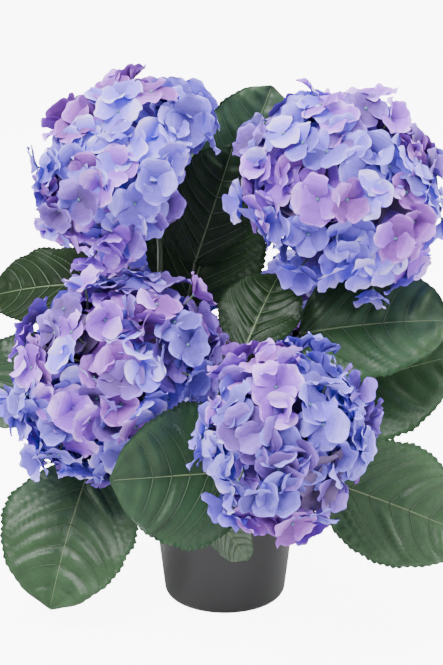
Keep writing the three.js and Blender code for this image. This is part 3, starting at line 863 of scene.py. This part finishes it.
# Limits of the folds over a leaf: height, start, waves along it, and slant
FOLDS = ((0.5, 1.1), (0, 2 * np.pi), (5, 11), (-4, 4))
FOLD_STRENGTH, FOLD_FADE = 0.45, 0.3
# Part of the length drawn, power that spaces the columns, and reach of all but the outermost
LEAF_SPAN, COLUMN_POWER, INNER_REACH = (0.004, 0.998), 0.85, 0.94
# Half the thickness of the cloth, and how it thins towards the edge
CLOTH = Sizes(half=0.36, thinning=0.55, power=3)
# Midrib and side veins, with their height above the middle of the cloth
MIDRIB = Sizes(end=0.97, height=0.4, fall=0.1, radius=1.15, loss=0.95, power=0.8, points=30, sides=8)
SIDE_VEIN = Sizes(first_shift=0.02, reach=0.93, height=0.57, radii=(0.58, 0.18), thinning=0.4,
                  points=14, sides=6)


def vein_rise(share):
    """How far along the blade a side vein is at a share of the way out to the edge."""
    return VEINS.reach * (0.6 * np.abs(share) + 0.4 * share**2)


def between_veins(t, share):
    """Place among the side veins, which is a whole number on each of them."""
    out = vein_rise(share)
    return ((t - out) / (1 - out) - VEINS.first) / VEINS.spacing


def fading(distance, reach):
    """From 0 at no distance up to 1 at reach and beyond."""
    return np.clip(distance / reach, 0, 1)


def outline(t):
    """Half the width of a blade as a share of its greatest, with a short tip."""
    tip = fading(t - TIP.start, 1 - TIP.start)
    narrowed = 1 - TIP.narrowing * tip ** TIP.power
    return np.sin(np.pi * t ** BLADE.heel) ** BLADE.round * narrowed


class Blade:
    """Places on a leaf, which folds along its midrib, droops to its tip and swells between its veins."""

    def __init__(self, leaf, base, rng):
        self.base, self.length = base, leaf.length
        self.pitch, self.droop = math.radians(leaf.pitch), math.radians(leaf.droop)
        self.width = self.length * leaf.breadth / 2
        self.level = heading(leaf.azimuth, 0)
        self.side = np.cross(UP, self.level)
        self.turn = turn_about(heading(leaf.azimuth, leaf.pitch), -leaf.roll)
        self.shifts = rng.uniform(0, 2 * np.pi, 4)
        self.folds = []
        for hand in (-1, -1, -1, 1, 1, 1):
            size, start, along, slant = (rng.uniform(*limits) for limits in FOLDS)
            self.folds.append((hand * size, start, along, slant))

    def at(self, t, share, lift):
        """Points at shares of the length and the half width, lifted off the middle of the cloth."""
        t, share, lift = np.broadcast_arrays(t, share, lift)
        bent = self.pitch - self.droop * t
        run = self.length / self.droop * (math.sin(self.pitch) - np.sin(bent))
        rise = self.length / self.droop * (np.cos(bent) - math.cos(self.pitch))
        half = self.width * outline(t) * share
        lift = lift + np.abs(half) * BLADE.fold - half**2 / self.width * BLADE.camber
        lift = lift + self.quilted(t, share) + self.swaying(t, share)
        normal = self.level * -np.sin(bent)[..., None] + UP * np.cos(bent)[..., None]
        points = self.level * run[..., None] + UP * rise[..., None] + self.side * half[..., None]
        return (points + normal * lift[..., None]) @ self.turn + self.base

    def quilted(self, t, share):
        """Height of the cloth between two side veins, with fine pleats on its swells."""
        a, b, c, d = self.shifts
        aside = np.abs(share)
        place = between_veins(t, share)
        number = np.floor(place)
        between = np.sin(np.pi * place) ** 2
        fade = fading(aside, SWELLS.midrib) * fading(SWELLS.past - aside, SWELLS.edge)
        pleats = sum(size * np.sin(2 * np.pi * count * place + slant * share + shift)
                     for (size, count, slant), shift in zip(PLEATS, (b, d)))
        pleats = pleats * between**SWELLS.power * fading(aside, SWELLS.pleated)
        height, step, hand = SWELLS.apart
        uneven = SWELLS.steady + height * np.sin(step * number + a + hand * np.sign(share))
        height, along, step = SWELLS.along
        uneven = uneven + height * np.sin(along * aside + step * number + c)
        size = VEINS.bulge * self.length / VEINS.length * uneven
        return size * fade * (between * fading(1 - t, SWELLS.tip) + pleats)

    def shade(self, t, share):
        """Shade of its tone at each place: painted shade along the veins and painted light on the swells,
        with patches.
        """
        a, b, c = self.shifts[:3]
        patchy = np.sin(9 * t + 4 * share + a) * np.sin(5 * t - 6 * share + b) + np.sin(14 * t * share + c)
        swell = np.sin(np.pi * between_veins(t, share)) ** 2
        level = SHADING.furrow + SHADING.swell * swell + SHADING.patchy * patchy + SHADING.edge * share**2
        return np.clip(np.round(level - 0.5), 0, len(LEAF_SHADES) - 1).astype(int)

    def swaying(self, t, share):
        """Height of the slow waves along the edges and of the folds."""
        aside = np.abs(share)
        edge = aside**2 * np.sign(share)
        lift = sum(size * np.sin(2 * np.pi * count * t + shift) * rise
                   for (size, count), shift, rise in zip(SWAYS, self.shifts, (edge, edge, aside**3)))
        for size, start, along, slant in self.folds:
            wave = np.sin(along * t + slant * share + start)
            lift = lift + FOLD_STRENGTH * size * wave * fading(aside, FOLD_FADE)
        return lift


def add_cloth(blades, blade, tone):
    """Upper side, underside and toothed rim of a leaf."""
    rows, columns = 3 * LEAF_TEETH + 1, 2 * HALF_COLUMNS + 1
    t = np.linspace(*LEAF_SPAN, rows)[:, None]
    shares = np.linspace(-1, 1, columns)[None, :]
    shares = np.sign(shares) * np.abs(shares) ** COLUMN_POWER
    teeth = np.array([TOOTH[i % 3] for i in range(rows)])[:, None]
    teeth = teeth * (1 + waves(EDGE_WAVES, t, blade.shifts[::2]))
    outermost = np.abs(np.arange(columns) - HALF_COLUMNS) == HALF_COLUMNS
    shares = np.where(outermost, shares * teeth, shares * INNER_REACH)
    thick = CLOTH.half * (1 - CLOTH.thinning * np.abs(shares) ** CLOTH.power)
    top = blade.at(t, shares, thick).reshape(-1, 3)
    below = blade.at(t, shares, -thick).reshape(-1, 3)
    faces = grid(rows, columns)
    at = np.arange(rows * columns).reshape(rows, columns)
    border = np.concatenate([at[0], at[1:, -1], at[-1, -2::-1], at[-2:0:-1, 0]])
    after = np.roll(border, -1)
    rim = np.stack([border, border + len(top), after + len(top), after], 1)
    # The upper quads start at the same corner, so that both sides split along one diagonal
    upper, lower = faces[:, [0, 3, 2, 1]], faces + len(top)
    middle_t, middle_share = (t[1:] + t[:-1]) / 2, (shares[1:, 1:] + shares[:-1, :-1]) / 2
    first = list(LEAF_TONES).index(tone) * len(LEAF_SHADES)
    slots = np.concatenate([
        first + blade.shade(middle_t, middle_share).ravel(),
        np.full(len(faces), len(leaf_looks)),
        np.full(len(rim), first + 1)])
    blades.add(np.concatenate([top, below]), np.concatenate([upper, lower, rim]), slot=slots)


def add_veins(veins, blade):
    """Midrib and side veins on a leaf's upper side."""
    along = np.linspace(0, MIDRIB.end, MIDRIB.points)
    path = blade.at(along, 0, MIDRIB.height - MIDRIB.fall * along)
    radii = MIDRIB.radius - MIDRIB.loss * (along / MIDRIB.end) ** MIDRIB.power
    tube(veins, path, radii, MIDRIB.sides)
    share = np.linspace(0, SIDE_VEIN.reach, SIDE_VEIN.points)
    radii = np.linspace(*SIDE_VEIN.radii, SIDE_VEIN.points)
    for k in range(VEINS.count):
        start = VEINS.first + k * VEINS.spacing + (SIDE_VEIN.first_shift if k == 0 else 0)
        place = start + vein_rise(share) * (1 - start)
        for hand in (-1, 1):
            path = blade.at(place, hand * share, SIDE_VEIN.height)
            tube(veins, path, radii * (1 - SIDE_VEIN.thinning * start), SIDE_VEIN.sides, slot=1)


def make_shoots():
    """All shoots and leaves. Returns a tree of the leaves' faces, to find what would touch them."""
    blades, veins, stems = Pile(), Pile(), Pile()
    rng = np.random.default_rng(37)
    t = np.linspace(0, 1, PETIOLE_MESH.points)[:, None]
    stalk_radii = np.linspace(*PETIOLE_MESH.radii, len(t))
    for start, node, leaves in SHOOTS.values():
        node = np.array(node, float)
        path = shoot_path(start, node)
        widths, relief = knobbly(path, SHOOT.foot, SHOOT.tip, rng, SHOOT_MESH.sides)
        tube(stems, path, widths, SHOOT_MESH.sides, relief=relief)
        way = unit(path[-1] - path[-2])
        for leaf in leaves:
            lift = min(leaf.pitch + PETIOLE.lift, PETIOLE.steepest)
            base = node + heading(leaf.azimuth, lift) * leaf.stalk
            blade = Blade(leaf, base, rng)
            inside = blade.at(PETIOLE.sunk / leaf.length, 0, 0.0)
            path = (1 - t) ** 2 * (node - way) + 2 * t * (1 - t) * base + t * t * inside
            tube(stems, path, stalk_radii, PETIOLE_MESH.sides)
            add_cloth(blades, blade, leaf.tone)
            add_veins(veins, blade)
    names = [f"leaves_{place}" for place in SHOOTS]
    blades.build("leaf_blades", "leaf", [*leaf_looks, under_look], names)
    veins.build("leaf_veins", "leaf", [vein_look, side_vein_look], names)
    stems.build("leaf_stems", "stem", [stem_look], names)
    points, quads = np.concatenate(blades.points), np.concatenate(blades.corners).reshape(-1, 4)
    return BVHTree.FromPolygons(points.tolist(), quads.tolist())


# Floor, surroundings, lights and camera

FLOOR = Sizes(radius=14, sides=96, below=0.0002, colour=(0.6, 0.6, 0.61), roughness=0.9)
# Strength of the sky, of the sky that the camera sees, and of the floor's glow
SKY, SKY_SEEN, FLOOR_GLOW = 0.85, 9.5, 8.0
WHITE = (1, 1, 1, 1)
AIM = Vector((-0.003, 0, 0.237))
POT_TOP = (0, 0, 0.1)
# Softboxes: place, aim, length of a side, and power
SOFTBOXES = {
    "key": ((-1.0, -1.4, 2.6), AIM, 1.2, 140),
    "fill": ((1.9, -1.4, 0.9), AIM, 1.6, 30),
    "top": ((0.1, 0.3, 2.4), AIM, 1.4, 60),
    "right": ((1.9, 0.9, 0.5), POT_TOP, 1.0, 75),
    "left": ((-2.0, 0.7, 0.5), POT_TOP, 1.0, 45),
}
# Camera, whose focal length and height of the picture are in pixels
CAMERA = Sizes(distance=1.6, elevation=math.radians(18.5), sensor=36, focal=1905, height=665, far=100)


def for_camera(nodes, links, other, seen):
    """A strength that the camera sees, and another for all other rays."""
    rays = nodes.new("ShaderNodeLightPath")
    spread = nodes.new("ShaderNodeMapRange")
    fill(spread, To_Min=other, To_Max=seen)
    links.new(rays.outputs["Is Camera Ray"], spread.inputs["Value"])
    return spread.outputs["Result"]


def pale_ground():
    """Pale floor, evenly bright to the camera, with a faint shadow under the pot."""
    bpy.ops.mesh.primitive_circle_add(vertices=FLOOR.sides, radius=FLOOR.radius, fill_type="NGON",
                                      location=(0, 0, -FLOOR.below))
    floor = bpy.context.object
    floor.name = "floor"
    look = material("floor", FLOOR.colour, FLOOR.roughness)
    nodes, links = look.node_tree.nodes, look.node_tree.links
    shader = nodes["Principled BSDF"]
    glow = nodes.new("ShaderNodeEmission")
    fill(glow, Color=WHITE)
    both = nodes.new("ShaderNodeAddShader")
    links.new(for_camera(nodes, links, 0, FLOOR_GLOW), glow.inputs["Strength"])
    links.new(shader.outputs["BSDF"], both.inputs[0])
    links.new(glow.outputs["Emission"], both.inputs[1])
    links.new(both.outputs["Shader"], nodes["Material Output"].inputs["Surface"])
    floor.data.materials.append(look)


def pale_sky():
    """Even white surroundings, brighter to the camera."""
    world = bpy.data.worlds.new("studio")
    bpy.context.scene.world = world
    world.use_nodes = True
    nodes, links = world.node_tree.nodes, world.node_tree.links
    ground = nodes["Background"]
    fill(ground, Color=WHITE)
    links.new(for_camera(nodes, links, SKY, SKY_SEEN), ground.inputs["Strength"])


def aimed(name, data, place, aim):
    """Lamp or camera at a place, pointed at another."""
    made = bpy.data.objects.new(name, data)
    bpy.context.scene.collection.objects.link(made)
    made.location = place
    made.rotation_euler = (Vector(aim) - Vector(place)).to_track_quat("-Z", "Y").to_euler()
    return made


def make_lights():
    for name, (place, aim, size, power) in SOFTBOXES.items():
        light = bpy.data.lights.new(name, "AREA")
        light.size, light.energy = size, power
        aimed(name, light, place, aim).visible_camera = False


def make_camera():
    lens = bpy.data.cameras.new("camera")
    lens.sensor_width = CAMERA.sensor
    lens.lens = CAMERA.focal / CAMERA.height * CAMERA.sensor
    lens.clip_end = CAMERA.far
    place = AIM + CAMERA.distance * Vector((0, -math.cos(CAMERA.elevation), math.sin(CAMERA.elevation)))
    bpy.context.scene.camera = aimed("camera", lens, place, AIM)


make_pot()
make_filler()
make_trunk()
make_flower_stems()
make_flower_balls(make_shoots())
pale_ground()
pale_sky()
make_lights()
make_camera()
